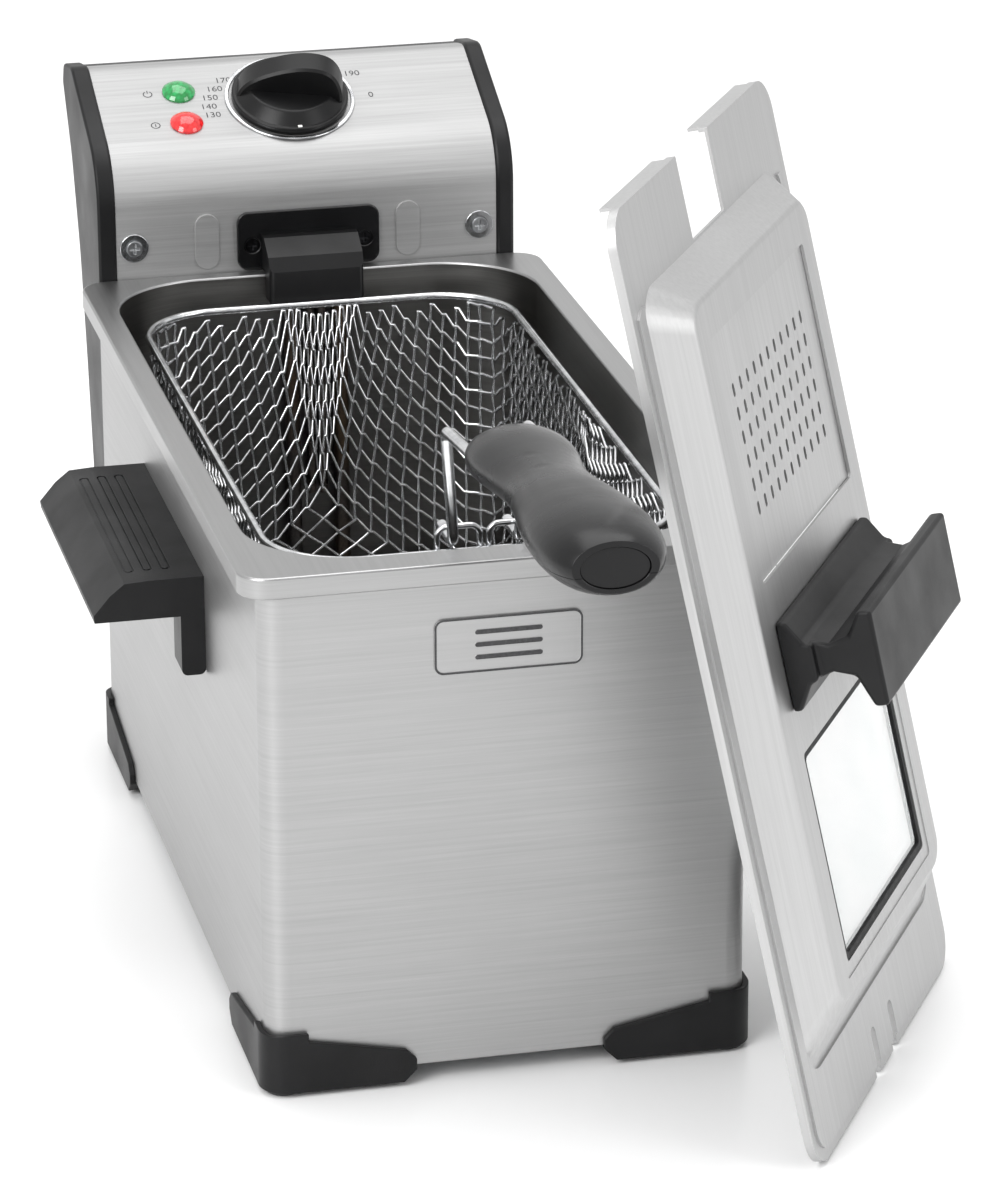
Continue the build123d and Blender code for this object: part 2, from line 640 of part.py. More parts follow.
def make_lid():
    place = lid_place()
    half = LID_W / 2
    plate = lid_slab(half, 0, LID_L, 14, -LID_EDGE, 0)
    plate -= lid_slab(half - 1.6, 1.6, LID_L - 1.6, 12.4, -LID_EDGE - 1, -SHEET)
    dome = lid_frustum((89, 35, DOME_BACK, 14), (76, 54, DOME_BACK - 11, 10), 0, DOME_H)
    dome = fillet(dome.edges().group_by(Axis.Z)[-1], 3.0)
    hollow = lid_frustum((88, 36, DOME_BACK - 1, 13), (75, 55, DOME_BACK - 12, 9), -0.02,
                         DOME_H - SHEET)
    opening = lid_slab(87.9, 36.1, DOME_BACK - 1.1, 13, -SHEET - 0.5, 0.01)
    panel = (plate - opening) + (dome - hollow)
    bead = lid_slab(half - 4.5, 4.5, LID_L - 4.5, 10.5, -0.5, BEAD_H)
    bead -= lid_slab(90.5, 33, DOME_BACK + 1.5, 12, -1, 3)
    panel += bead & lid_slab(half, 0, DOME_BACK - 4, 12, -1, 3)
    panel -= lid_slab(63.0, 217, 311, 2, 2, DOME_H + 5)
    panel -= lid_slab(63.0, 60, 153.5, 2, DOME_H - 0.5, DOME_H + 5)
    panel -= lid_slab(58.0, 65, 148.5, 2, 2, DOME_H + 5)
    panel -= lid_cutters()
    tabs = Part()
    for side in (-1, 1):
        x0 = side * 23.0
        x1 = side * 88.0
        tabs += block(min(x0, x1), max(x0, x1), LID_L - 1.3, LID_L - 0.1, -8.5, -SHEET)
    save("lid_panel", place * (panel + tabs))

    vent = lid_slab(62.9, 217.1, 310.9, 2, DOME_H - 2.4, DOME_H - 1.4)
    slots = Sketch()
    for row in range(6):
        for column in range(11):
            x = (column - 5) * 9.25
            y = 241.2 + row * 9.1
            slots += Pos(x, y) * Rot(0, 0, 90) * SlotOverall(5.2, 2.6)
    vent -= Pos(0, 0, DOME_H - 5) * extrude(slots, 10)
    save("vent_plate", place * vent)
    filter_pad = lid_slab(58, 222, 306, 3, DOME_H - 8.4, DOME_H - 2.5)
    save("odour_filter", place * filter_pad)
    tray = lid_slab(62.9, 217.1, 310.9, 2, DOME_H - 9.6, DOME_H - 2.45)
    tray -= lid_slab(58.1, 221.9, 306.1, 3, DOME_H - 8.5, DOME_H)
    tray -= Pos(0, 0, -10) * extrude(slots, 30)
    save("filter_tray", place * tray)

    seal = lid_slab(57.95, 65.05, 148.45, 2, DOME_H - 5.2, DOME_H - 0.9)
    seal -= lid_slab(55.4, 67.6, 145.9, 2, DOME_H - 6, DOME_H + 2)
    save("window_seal", place * seal)
    pane = lid_slab(55.35, 67.65, 145.85, 2, DOME_H - 5.0, DOME_H - 2.6)
    save("window_pane", place * pane)
    make_lid_handle(place)


def make_lid_handle(place):
    n0 = DOME_H + 0.05
    outline = [(166, n0), (201, n0), (201, n0 + 3.5), (192, n0 + 9), (189.5, n0 + 17),
               (192, n0 + 25), (200.5, n0 + 30), (200.5, n0 + 35.5), (163.5, n0 + 35.5),
               (163.5, n0 + 30), (176, n0 + 25), (178.5, n0 + 17), (176, n0 + 9),
               (166, n0 + 3.5)]
    base = side_profile(outline, -61, 61)
    taper = side_profile([(160, n0 + 12), (205, n0 + 12), (205, n0 + 40), (160, n0 + 40)],
                         56.8, 70)
    base -= taper + mirrored(taper)
    save("lid_handle", place * base)
    screws = []
    low = (Align.CENTER, Align.CENTER, Align.MIN)
    for x in (-35, 35):
        head = Pos(x, 184, DOME_H - SHEET - 2.6) * Cylinder(3.6, 2.5, align=low)
        screws.append(head)
    save("lid_screws", place * Compound(screws))


def main():
    os.makedirs("parts", exist_ok=True)
    make_housing()
    make_feet()
    make_carry_handle("carry_handle_left", -1)
    make_carry_handle("carry_handle_right", 1)
    make_handle_rivets()
    make_badge()
    make_tank()
    make_unit_shells()
    make_panel_fasteners()
    make_escutcheon()
    make_bracket_cover()
    make_element()
    make_unit_internals()
    make_reset_button()
    make_lamps()
    make_bezel()
    make_knob()
    make_basket()
    make_basket_handle()
    make_lid()


main()
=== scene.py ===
import bmesh
import bpy
import json
import math
from mathutils import Matrix, Vector

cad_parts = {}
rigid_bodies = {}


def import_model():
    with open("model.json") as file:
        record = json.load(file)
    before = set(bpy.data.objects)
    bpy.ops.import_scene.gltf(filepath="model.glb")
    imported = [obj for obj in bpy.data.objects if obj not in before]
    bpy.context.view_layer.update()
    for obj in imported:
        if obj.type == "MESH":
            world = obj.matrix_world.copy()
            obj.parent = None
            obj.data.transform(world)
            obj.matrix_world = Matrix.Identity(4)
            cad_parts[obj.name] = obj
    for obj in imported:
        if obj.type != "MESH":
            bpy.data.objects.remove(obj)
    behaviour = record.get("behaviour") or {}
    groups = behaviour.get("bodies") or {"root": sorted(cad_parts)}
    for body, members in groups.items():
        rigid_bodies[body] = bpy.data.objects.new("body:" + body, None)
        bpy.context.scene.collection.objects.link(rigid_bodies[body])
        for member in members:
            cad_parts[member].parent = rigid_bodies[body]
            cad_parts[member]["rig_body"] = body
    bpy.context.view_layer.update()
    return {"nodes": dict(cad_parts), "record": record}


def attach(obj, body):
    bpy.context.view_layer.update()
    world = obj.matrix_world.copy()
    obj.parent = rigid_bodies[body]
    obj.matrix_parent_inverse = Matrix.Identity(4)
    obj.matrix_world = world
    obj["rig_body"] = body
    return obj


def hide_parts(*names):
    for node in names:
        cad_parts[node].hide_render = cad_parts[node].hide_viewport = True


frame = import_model()

# The pieces are drawn in millimetres about the middle of the tank rim; the row's origin is
# the middle of the whole footprint.
ORIGIN = (28.16, -34.06)
PANEL_TILT = math.radians(24.0)
PANEL_BEND = (191.4, 262.1)      # y, z where the upright front and the slope would meet
PANEL_INSET = 1.0
LID_FOOT = (143.95, -212.89, 0.8)
LID_TURN = math.radians(58.66)
LID_LEAN = math.radians(12.85)
SHARP_TURN = math.radians(38)    # faces that meet at more than this have an edge, which is broken
PLAIN_EDGE = 0.25                # broken edge of a piece that EDGE doesn't list
WIDE_EDGE = 0.4                  # a broken edge wider than this is rounded more finely
WELL_TOP = 203.0                 # the tank's inside that is painted darker as shade: its height, half width, ends
WELL_HALF = 91.6
WELL_FRONT, WELL_BACK = -175.6, 184.6


def at(x, y, z):
    """A place on the fryer, from millimetres to the row's metres."""
    return Vector(((x - ORIGIN[0]) / 1000, (y - ORIGIN[1]) / 1000, z / 1000))


def local(point):
    """The way back: the row's metres to millimetres about the tank rim."""
    return Vector((point.x * 1000 + ORIGIN[0], point.y * 1000 + ORIGIN[1], point.z * 1000))


def linear(code):
    """An sRGB hex colour as the linear colour that a shader takes."""
    parts = [int(code[i:i + 2], 16) / 255 for i in (1, 3, 5)]
    return [p / 12.92 if p <= 0.04045 else ((p + 0.055) / 1.055) ** 2.4 for p in parts] + [1.0]


def add(tree, kind, sockets=None, **settings):
    """Adds a node with its settings; a socket is given a value or the output to link."""
    node = tree.nodes.new(kind)
    for key, value in settings.items():
        setattr(node, key, value)
    for key, value in (sockets or {}).items():
        if isinstance(value, bpy.types.NodeSocket):
            tree.links.new(value, node.inputs[key])
        else:
            node.inputs[key].default_value = value
    return node


# ------------------------------------------------------------------ materials
def new_material(name):
    material = bpy.data.materials.new(name)
    material.use_nodes = True
    material.node_tree.nodes.clear()
    return material, material.node_tree


def close_material(material, tree, shader):
    add(tree, "ShaderNodeOutputMaterial", {"Surface": shader.outputs[0]})
    return material


def scaled(tree, source, scale):
    """Coordinates in millimetres, stretched."""
    return add(tree, "ShaderNodeMapping", {"Vector": source, "Scale": scale}).outputs[0]


def ramp(tree, factor, low, high, dark, light):
    """Two colours spread over part of a pattern's range."""
    part = add(tree, "ShaderNodeMapRange", {"Value": factor, "From Min": low, "From Max": high})
    mix = add(tree, "ShaderNodeMix", data_type="RGBA")
    tree.links.new(part.outputs[0], mix.inputs[0])
    mix.inputs[6].default_value = linear(dark)
    mix.inputs[7].default_value = linear(light)
    return mix.outputs[2]


def spread(tree, factor, low, high, start=0.3, end=0.7):
    """A pattern as a number between low and high."""
    return add(tree, "ShaderNodeMapRange", {"Value": factor, "From Min": start, "From Max": end,
                                            "To Min": low, "To Max": high}).outputs[0]


def millimetres(tree):
    """Object coordinates in millimetres."""
    place = add(tree, "ShaderNodeTexCoord").outputs["Object"]
    return scaled(tree, place, (1000, 1000, 1000))


def brushed_stainless(name, dark, light, rough, bump=0.25):
    """18/10 stainless sheet, belt-ground: long fine scratches one way, which pull every
    reflection out across them, and faint clouds from handling and washing."""
    material, tree = new_material(name)
    grain = add(tree, "ShaderNodeAttribute", attribute_name="grain").outputs["Vector"]
    # belt grit leaves lines about 0.1 mm apart; they are drawn about 0.4 mm apart, gathered
    # in bands of about 1.4 mm, so that they show
    lines = add(tree, "ShaderNodeTexNoise", {"Vector": scaled(tree, grain, (0.03, 2.3, 2.3)),
                                             "Scale": 1.0, "Detail": 3.0, "Roughness": 0.6})
    bands = add(tree, "ShaderNodeTexNoise", {"Vector": scaled(tree, grain, (0.01, 0.7, 0.7)),
                                             "Scale": 1.0, "Detail": 2.0})
    clouds = add(tree, "ShaderNodeTexNoise", {"Vector": scaled(tree, grain, (0.011, 0.02, 0.02)),
                                              "Scale": 1.0, "Detail": 3.0})
    both = add(tree, "ShaderNodeMath", {0: lines.outputs[0], 1: bands.outputs[0]}, operation="ADD")
    half = add(tree, "ShaderNodeMath", {0: both.outputs[0], 1: 0.5}, operation="MULTIPLY")
    colour = ramp(tree, half.outputs[0], 0.25, 0.75, dark, light)
    gloss = add(tree, "ShaderNodeMath", {0: lines.outputs[0], 1: clouds.outputs[0]},
                operation="ADD")
    height = add(tree, "ShaderNodeBump", {"Strength": bump, "Distance": 0.00006,
                                          "Height": lines.outputs[0]})
    shader = add(tree, "ShaderNodeBsdfPrincipled",
                 {"Base Color": colour, "Metallic": 1.0,
                  "Roughness": spread(tree, gloss.outputs[0], rough - 0.04, rough + 0.05, 0.7, 1.3),
                  "Normal": height.outputs[0]})
    return close_material(material, tree, shader)


def bright_metal(name, dark, light, rough, mottle_mm=6.0):
    """Nickel-chrome plate or bright-drawn metal: nearly a mirror, with a faint uneven haze
    where the polish is thinner."""
    material, tree = new_material(name)
    where = millimetres(tree)
    haze = add(tree, "ShaderNodeTexNoise", {"Vector": where, "Scale": 1.0 / mottle_mm,
                                            "Detail": 4.0})
    pits = add(tree, "ShaderNodeTexNoise", {"Vector": where, "Scale": 1.6, "Detail": 2.0})
    height = add(tree, "ShaderNodeBump", {"Strength": 0.08, "Distance": 0.00005,
                                          "Height": pits.outputs[0]})
    shader = add(tree, "ShaderNodeBsdfPrincipled",
                 {"Base Color": ramp(tree, haze.outputs[0], 0.35, 0.65, dark, light),
                  "Metallic": 1.0,
                  "Roughness": spread(tree, haze.outputs[0], rough - 0.03, rough + 0.06),
                  "Normal": height.outputs[0]})
    return close_material(material, tree, shader)


def moulded_plastic(name, dark, light, rough, texture_mm=0.7, depth=0.35, coat=0.0,
                    shine=0.3):
    """Glass-filled nylon or ABS from a spark-eroded mould: a fine even pebble that breaks up
    the highlights, rubbed a little smoother and paler in places by hands and cloths."""
    material, tree = new_material(name)
    where = millimetres(tree)
    # the mould's pebble is about 0.1 mm; it is drawn coarser so that it shows at all
    pebble = add(tree, "ShaderNodeTexNoise", {"Vector": where, "Scale": 1.0 / texture_mm,
                                              "Detail": 3.0, "Roughness": 0.6})
    rubbed = add(tree, "ShaderNodeTexNoise", {"Vector": where, "Scale": 0.03, "Detail": 4.0})
    height = add(tree, "ShaderNodeBump", {"Strength": depth, "Distance": 0.00012,
                                          "Height": pebble.outputs[0]})
    shader = add(tree, "ShaderNodeBsdfPrincipled",
                 {"Base Color": ramp(tree, rubbed.outputs[0], 0.35, 0.68, dark, light),
                  "Roughness": spread(tree, rubbed.outputs[0], rough + 0.06, rough - 0.06),
                  "IOR": 1.46, "Specular IOR Level": shine, "Coat Weight": coat,
                  "Coat Roughness": 0.12,
                  "Normal": height.outputs[0]})
    return close_material(material, tree, shader)


def soft_rubber(name, dark, light):
    """Moulded silicone or EPDM: matt, slightly dusty, with no clear highlight."""
    material, tree = new_material(name)
    where = millimetres(tree)
    dust = add(tree, "ShaderNodeTexNoise", {"Vector": where, "Scale": 0.35, "Detail": 6.0})
    height = add(tree, "ShaderNodeBump", {"Strength": 0.3, "Distance": 0.0001,
                                          "Height": dust.outputs[0]})
    shader = add(tree, "ShaderNodeBsdfPrincipled",
                 {"Base Color": ramp(tree, dust.outputs[0], 0.35, 0.7, dark, light),
                  "Roughness": spread(tree, dust.outputs[0], 0.55, 0.75), "IOR": 1.45,
                  "Normal": height.outputs[0]})
    return close_material(material, tree, shader)


def heated_sheath(name):
    """Incoloy heater sheath: dull grey steel, browned and blued in bands by its own heat."""
    material, tree = new_material(name)
    where = millimetres(tree)
    tint = add(tree, "ShaderNodeTexNoise", {"Vector": where, "Scale": 0.022, "Detail": 3.0})
    scale = add(tree, "ShaderNodeTexNoise", {"Vector": where, "Scale": 1.1, "Detail": 4.0})
    warm = ramp(tree, tint.outputs[0], 0.38, 0.62, "#6d6a68", "#7d6a55")
    spots = add(tree, "ShaderNodeMix", {0: spread(tree, scale.outputs[0], 0.0, 0.55)},
                data_type="RGBA")
    tree.links.new(warm, spots.inputs[6])
    spots.inputs[7].default_value = linear("#4c4a4b")
    shader = add(tree, "ShaderNodeBsdfPrincipled",
                 {"Base Color": spots.outputs[2], "Metallic": 1.0,
                  "Roughness": spread(tree, scale.outputs[0], 0.34, 0.55)})
    return close_material(material, tree, shader)


def lamp_lens(name, dark, light, glow):
    """Tinted polycarbonate dome: clear and wet-looking, deeper in colour where it is thick,
    with the faint ribs of the reflector behind it."""
    material, tree = new_material(name)
    where = millimetres(tree)
    ribs = add(tree, "ShaderNodeTexVoronoi", {"Vector": where, "Scale": 0.55})
    height = add(tree, "ShaderNodeBump", {"Strength": 0.25, "Distance": 0.0002,
                                          "Height": ribs.outputs[0]})
    colour = ramp(tree, ribs.outputs[0], 0.1, 0.8, light, dark)
    shader = add(tree, "ShaderNodeBsdfPrincipled",
                 {"Base Color": colour, "Roughness": 0.07, "IOR": 1.58,
                  "Transmission Weight": 0.12, "Emission Strength": glow,
                  "Coat Weight": 0.6, "Coat Roughness": 0.03, "Normal": height.outputs[0]})
    tree.links.new(colour, shader.inputs["Emission Color"])
    return close_material(material, tree, shader)


def toughened_glass(name):
    """Flat toughened soda-lime glass: clear, with a thin film of dried splashes."""
    material, tree = new_material(name)
    where = millimetres(tree)
    film = add(tree, "ShaderNodeTexNoise", {"Vector": where, "Scale": 0.05, "Detail": 5.0})
    shader = add(tree, "ShaderNodeBsdfPrincipled",
                 {"Base Color": ramp(tree, film.outputs[0], 0.3, 0.7, "#f2f5f5", "#ffffff"),
                  "Roughness": spread(tree, film.outputs[0], 0.03, 0.12),
                  "IOR": 1.52, "Transmission Weight": 0.75})
    return close_material(material, tree, shader)


def fibre_felt(name):
    """Needled polyester felt with charcoal: soft dark grey fibres lying every way."""
    material, tree = new_material(name)
    where = millimetres(tree)
    fibres = add(tree, "ShaderNodeTexNoise", {"Vector": where, "Scale": 1.3, "Detail": 8.0,
                                              "Roughness": 0.8, "Distortion": 1.5})
    height = add(tree, "ShaderNodeBump", {"Strength": 0.8, "Distance": 0.0006,
                                          "Height": fibres.outputs[0]})
    shader = add(tree, "ShaderNodeBsdfPrincipled",
                 {"Base Color": ramp(tree, fibres.outputs[0], 0.3, 0.7, "#2f2f2c", "#5c5c57"),
                  "Roughness": 0.95, "Sheen Weight": 0.3, "Normal": height.outputs[0]})
    return close_material(material, tree, shader)


def print_ink(name, dark, light):
    """Pad-printed epoxy ink: flat, slightly broken where it is thin."""
    material, tree = new_material(name)
    where = millimetres(tree)
    wear = add(tree, "ShaderNodeTexNoise", {"Vector": where, "Scale": 0.9, "Detail": 5.0})
    shader = add(tree, "ShaderNodeBsdfPrincipled",
                 {"Base Color": ramp(tree, wear.outputs[0], 0.3, 0.75, dark, light),
                  "Roughness": spread(tree, wear.outputs[0], 0.45, 0.6)})
    return close_material(material, tree, shader)


MATERIALS = {
    "housing_steel": brushed_stainless("belt_ground_housing_sheet", "#a6a6a6", "#b7b7b7", 0.42,
                                       0.12),
    "base_steel": brushed_stainless("galvanised_base_sheet", "#8f9193", "#a8abad", 0.45),
    "panel_steel": brushed_stainless("belt_ground_panel_sheet", "#a2a2a2", "#bababa", 0.56, 0.25),
    "tank_steel": brushed_stainless("deep_drawn_tank_sheet", "#a2a2a2", "#b0b0b0", 0.36, 0.08),
    "lid_steel": brushed_stainless("pressed_lid_sheet", "#b4b4b4", "#c4c4c4", 0.46, 0.1),
    "vent_steel": brushed_stainless("punched_vent_sheet", "#b6b6b6", "#cacaca", 0.46, 0.12),
    "badge_steel": brushed_stainless("satin_badge_plate", "#acacac", "#b8b8b8", 0.40, 0.08),
    "bright_steel": bright_metal("zinc_plated_steel", "#8f9092", "#aeb0b2", 0.30),
    "washer_chrome": bright_metal("chromed_washer_brass", "#b9babc", "#dcdddf", 0.08),
    "wire_chrome": bright_metal("chromed_steel_wire", "#c6c7c9", "#e6e7e8", 0.20),
    "probe_copper": bright_metal("tinned_copper", "#6f6863", "#8b847e", 0.28),
    "dark_screw": bright_metal("blackened_screw_steel", "#1b1b1c", "#2e2e30", 0.35),
    "element_steel": heated_sheath("browned_heater_sheath"),
    "moulded_black": moulded_plastic("spark_textured_nylon", "#0d0d0e", "#171718", 0.42),
    "gloss_black": moulded_plastic("polished_black_abs", "#0c0c0d", "#161617", 0.20, 1.5, 0.05,
                                   0.3),
    "grip_black": moulded_plastic("satin_phenolic_grip", "#0c0c0d", "#161617", 0.27, 0.8, 0.10,
                                  0.0, 0.4),
    "knob_black": moulded_plastic("satin_phenolic_knob", "#0e0e0f", "#191919", 0.30, 0.9, 0.10),
    "pointer_white": print_ink("white_pointer_ink", "#d8d8d4", "#f4f4f0"),
    "pad_rubber": soft_rubber("grey_foot_rubber", "#2a2a2b", "#3c3c3d"),
    "seal_rubber": soft_rubber("black_window_seal_rubber", "#0f0f10", "#1d1d1e"),
    "lamp_green": lamp_lens("green_polycarbonate_lens", "#057a35", "#19a455", 0.12),
    "lamp_red": lamp_lens("red_polycarbonate_lens", "#c00812", "#ee2a2a", 0.15),
    "reset_red": moulded_plastic("polished_red_abs", "#8e0a10", "#b5141a", 0.22, 1.5, 0.05, 0.3),
    "pane_glass": toughened_glass("toughened_soda_lime_glass"),
    "filter_felt": fibre_felt("needled_filter_felt"),
    "part_cream": moulded_plastic("unfilled_steatite_ceramic", "#c9c0ad", "#ddd6c6", 0.5),
}
# painted shade: the tank's inside below its rim is drawn in this darker, browner steel
WELL_SHADE_STEEL = brushed_stainless("well_shade_tank_sheet", "#6a6967", "#807f7c", 0.34, 0.1)
BLACK_INK = print_ink("black_scale_ink", "#2b2b2c", "#48484a")


# ------------------------------------------------------------------ carried-over pieces
def lid_axes():
    across = Vector((math.cos(LID_TURN), math.sin(LID_TURN), 0))
    away = Vector((math.sin(LID_TURN), -math.cos(LID_TURN), 0))
    up = Vector((0, 0, 1))
    along = up * math.cos(LID_LEAN) - away * math.sin(LID_LEAN)
    outward = away * math.cos(LID_LEAN) + up * math.sin(LID_LEAN)
    return across, along, outward


LID_ACROSS, LID_ALONG, LID_OUT = lid_axes()


def grain_wall(p, n):
    """Horizontal scratches that run round upright walls, and lengthwise ones on top."""
    if abs(n.z) > 0.7:
        return (p.y, p.x, p.z)
    return (p.x + p.y, p.z, 0.0)


def grain_across(p, n):
    """Scratches from side to side."""
    return (p.x, p.y, p.z)


def grain_lid(p, n):
    """Scratches along the length of the leaning lid."""
    d = p - Vector(LID_FOOT)
    return (d.dot(LID_ALONG), d.dot(LID_ACROSS), d.dot(LID_OUT))


GRAIN = {"control_panel": grain_across, "lid_panel": grain_lid, "vent_plate": grain_lid,
         "filter_tray": grain_lid, "badge_plate": grain_across}
# width in millimetres of the broken edge that catches the light
EDGE = {"housing_shell": 0.5, "oil_tank": 0.9, "lid_panel": 0.7, "control_panel": 0.5,
        "end_cap_left": 1.6, "end_cap_right": 1.6, "back_cover": 0.4, "lid_handle": 1.5,
        "carry_handle_left": 1.6, "carry_handle_right": 1.6, "element_bracket_cover": 1.2,
        "escutcheon_plate": 0.8, "knob": 0.7, "foot_front_left": 1.3, "foot_front_right": 1.3,
        "foot_back_left": 1.3, "foot_back_right": 1.3, "badge_plate": 0.12,
        "vent_plate": 0.12, "filter_tray": 0.1, "window_pane": 0.0, "grip_upper": 0.5,
        "grip_lower": 0.5, "knob_pointer": 0.0, "basket_rim": 0.0, "basket_runners": 0.3,
        "handle_arches": 0.3, "handle_legs": 0.5, "heating_element": 0.4, "element_legs": 0.0,
        "lamp_red": 0.0, "lamp_green": 0.0, "sensor_bulbs": 0.4}


def plain_mesh(source, name):
    """The finished shape of an object as a plain mesh object."""
    graph = bpy.context.evaluated_depsgraph_get()
    mesh = bpy.data.meshes.new_from_object(source.evaluated_get(graph))
    mesh.name = name
    piece = bpy.data.objects.new(name, mesh)
    bpy.context.scene.collection.objects.link(piece)
    bpy.data.objects.remove(source)
    return piece


def store_grain(mesh, rule):
    """Writes each face corner's place along and across the scratches, in millimetres."""
    layer = mesh.attributes.new("grain", "FLOAT_VECTOR", "CORNER")
    for face in mesh.polygons:
        for corner in face.loop_indices:
            p = local(mesh.vertices[mesh.loops[corner].vertex_index].co)
            layer.data[corner].vector = rule(p, face.normal)


def finish_node(node, slot_name):
    """A CAD piece with its edges broken and its curves smooth."""
    body = frame["nodes"][node]["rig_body"]
    mesh = frame["nodes"][node].data.copy()
    shape = bmesh.new()
    shape.from_mesh(mesh)
    bmesh.ops.remove_doubles(shape, verts=shape.verts, dist=2e-6)
    bmesh.ops.dissolve_limit(shape, angle_limit=math.radians(0.5), verts=shape.verts,
                             edges=shape.edges)
    shape.to_mesh(mesh)
    shape.free()
    mesh.shade_smooth()
    mesh.set_sharp_from_angle(angle=SHARP_TURN)
    rough = bpy.data.objects.new(node + "_rough", mesh)
    bpy.context.scene.collection.objects.link(rough)
    edge = EDGE.get(node, PLAIN_EDGE)
    if edge:
        bevel = rough.modifiers.new("broken edge", "BEVEL")
        bevel.width = edge / 1000
        bevel.segments = 3 if edge > WIDE_EDGE else 2
        bevel.limit_method = "ANGLE"
        bevel.angle_limit = SHARP_TURN
        bevel.use_clamp_overlap = True
    flats = rough.modifiers.new("flat faces stay flat", "WEIGHTED_NORMAL")
    flats.keep_sharp = True
    flats.weight = 100
    piece = plain_mesh(rough, node + "_finished")
    piece.data.materials.clear()
    piece.data.materials.append(MATERIALS[slot_name])
    store_grain(piece.data, GRAIN.get(node, grain_wall))
    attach(piece, body)
    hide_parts(node)
    return piece


def finish_nodes():
    made = {}
    for entry in frame["record"]["subparts"]:
        node = entry["node"]
        if node != "basket_mesh":
            made[node] = finish_node(node, entry["material_slot"])
    return made


PIECES = finish_nodes()


def paint_well_shade():
    """Below its rim the tank's inside gets a darker, browner steel: painted shade of the deep tank.
    """
    tank = PIECES["oil_tank"].data
    tank.materials.append(WELL_SHADE_STEEL)
    # faces inside the tank below its rim take the painted-shade steel
    for face in tank.polygons:
        p = local(face.center)
        if p.z < WELL_TOP and abs(p.x) < WELL_HALF and WELL_FRONT < p.y < WELL_BACK:
            face.material_index = 1


def ink_badge():
    """The raised frame and bars of the badge are printed dark."""
    badge = PIECES["badge_plate"].data
    badge.materials.append(BLACK_INK)
    ink_skin = 0.00005
    front = min(v.co.y for v in badge.vertices)
    for face in badge.polygons:
        if face.center.y < front + ink_skin and face.normal.y < -0.9:
            face.material_index = 1


paint_well_shade()
ink_badge()


# ------------------------------------------------------------------ wire basket
WIRE_R = 0.72                # drawn wire of the mesh
PITCH = 7.9                  # rows of the weave, one above another
STEP = 7.2                   # half a lattice cell, sideways
NET_HALF = 78.7              # the net's middle surface
NET_FRONT, NET_BACK = -149.7, 168.2
NET_CORNER = 32.7
NET_FLOOR, NET_TOP = 72.9, 200.2
NET_BEND = 14.0              # rounding between floor and walls
NET_RISE = 4.9               # height of half a lattice cell on the walls
APEX_LIFT = 9.0              # how much further the lattice is drawn up at each seam
SQUEEZE = 1.6                # half spacing of the crowded wires at each seam
SEAM_SAG = 0.03              # how far each crowded row hangs: rise per squared millimetre
KNOT = 0.9                   # half the level stretch of a climbing wire at a crossing
WEAVE_DEPTH = WIRE_R * 0.95  # a wire's move out or in; crossing wires press slightly together
FLOOR_OVERLAP = 1.0          # how far the floor's wires run on into the bend at the corners
BEND_ARC = NET_BEND * math.pi / 2
WALL_REACH = BEND_ARC + NET_TOP - NET_FLOOR - NET_BEND
ROWS = math.ceil(WALL_REACH / PITCH) + 1
MIDDLE_Y = (NET_FRONT + NET_BACK) / 2
HALF_Y = (NET_BACK - NET_FRONT) / 2
# middle of each wall, the way along it, the way out of it and half its straight length
WALLS = [((0, NET_FRONT), (1, 0), (0, -1), NET_HALF - NET_CORNER),
         ((NET_HALF, MIDDLE_Y), (0, 1), (1, 0), HALF_Y - NET_CORNER),
         ((0, NET_BACK), (-1, 0), (0, 1), NET_HALF - NET_CORNER),
         ((-NET_HALF, MIDDLE_Y), (0, -1), (-1, 0), HALF_Y - NET_CORNER)]


def wall_spot(wall, u, v, lift):
    """A point of the net: u along a wall from its middle, v up from the floor, lift outwards."""
    (cx, cy), (tx, ty), (nx, ny), straight = wall
    turn = min(v / NET_BEND, math.pi / 2)
    inset = NET_BEND * (1 - math.sin(turn))
    height = NET_BEND * (1 - math.cos(turn)) + max(0.0, v - BEND_ARC)
    side = 1 if u > 0 else -1
    past = max(0.0, abs(u) - straight) / NET_CORNER
    radius = NET_CORNER - inset
    run = side * (min(abs(u), straight) + radius * math.sin(past))
    drop = inset + radius * (1 - math.cos(past))
    out = (nx * math.cos(past) + side * tx * math.sin(past),
           ny * math.cos(past) + side * ty * math.sin(past))
    x = cx + tx * run - nx * drop + out[0] * math.sin(turn) * lift
    y = cy + ty * run - ny * drop + out[1] * math.sin(turn) * lift
    return at(x, y, NET_FLOOR + height - math.cos(turn) * lift)


def weave(i, k):
    """In or out at a crossing, turn and turn about."""
    return WEAVE_DEPTH * (1 if (i + k) % 2 else -1)


